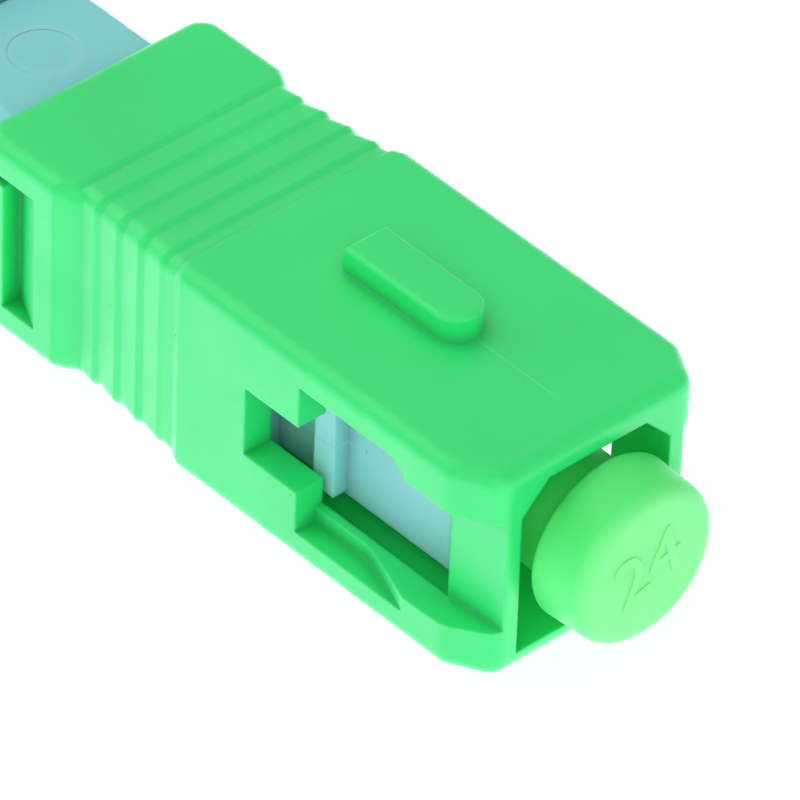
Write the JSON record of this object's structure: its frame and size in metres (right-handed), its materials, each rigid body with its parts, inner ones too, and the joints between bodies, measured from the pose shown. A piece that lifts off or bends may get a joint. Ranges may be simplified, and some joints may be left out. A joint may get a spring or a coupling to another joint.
{
  "type": "sc fibre connector",
  "caption": "Push-pull SC fibre connector for field fitting on flat drop cable: sliding housing, plug frame, angled ferrule, mechanical splice, cable clamp and dust cap.",
  "frame": {"origin": "on the optical axis, at the front face of the outer housing", "axes": "+X along the optical axis in the mating direction, +Z towards the key, +Y to the left seen from behind"},
  "size_m": [0.0498, 0.009, 0.0083],
  "materials": {
    "sleeve_plastic": "fine satin green moulding",
    "plug_plastic": "fine satin blue-grey moulding",
    "cap_plastic": "slightly translucent green polyethylene",
    "ceramic": "polished white zirconia",
    "collar_metal": "turned, plain",
    "fibre_glass": "bare glass fibre",
    "spring_wire": "drawn stainless wire",
    "splice_plastic": "natural white moulding",
    "plate_metal": "plain soft aluminium",
    "clip_steel": "thin spring steel strip"
  },
  "bodies": {
    "plug": {"plug_frame": "plug_plastic", "main_body": "plug_plastic", "bottom_cover": "plug_plastic", "ferrule_spring": "spring_wire"},
    "sleeve": {"outer_housing": "sleeve_plastic"},
    "carriage": {"ferrule": "ceramic", "ferrule_flange": "collar_metal", "fibre_stub": "fibre_glass", "splice_base": "splice_plastic", "front_splice_clip": "clip_steel", "rear_splice_clip": "clip_steel"},
    "front_plate": {"front_press_plate": "plate_metal"},
    "rear_plate": {"rear_press_plate": "plate_metal"},
    "slider": {"lock_slider": "plug_plastic"},
    "tail_cover": {"cable_cover": "plug_plastic"},
    "cap": {"dust_cap": "cap_plastic"}
  },
  "joints": [
    {"name": "sleeve_slide", "type": "slide", "parent": "plug", "child": "sleeve", "axis": [-1, 0, 0], "range_m": [0, 0.0014]},
    {"name": "ferrule_float", "type": "slide", "parent": "plug", "child": "carriage", "axis": [-1, 0, 0], "range_m": [0, 0.0008], "stiffness_N_per_m": 1200, "deforming": ["ferrule_spring"]},
    {"name": "cap_pull", "type": "slide", "parent": "carriage", "child": "cap", "axis": [1, 0, 0], "range_m": [0, 0.008]},
    {"name": "lock_slide", "type": "slide", "parent": "plug", "child": "slider", "axis": [1, 0, 0], "range_m": [0, 0.002]},
    {"name": "front_plate_press", "type": "slide", "parent": "carriage", "child": "front_plate", "axis": [0, 0, -1], "range_m": [0, 0.0001]},
    {"name": "rear_plate_press", "type": "slide", "parent": "carriage", "child": "rear_plate", "axis": [0, 0, -1], "range_m": [0, 0.0001]},
    {"name": "cover_hinge", "type": "hinge", "parent": "plug", "child": "tail_cover", "pos_m": [-0.0357, 0, 0.0016], "axis": [0, 1, 0], "range_deg": [0, 95]}
  ],
  "couplings": [
    {"joint": "front_plate_press", "follows": "lock_slide", "ratio": 0.05},
    {"joint": "rear_plate_press", "follows": "lock_slide", "ratio": 0.05}
  ]
}
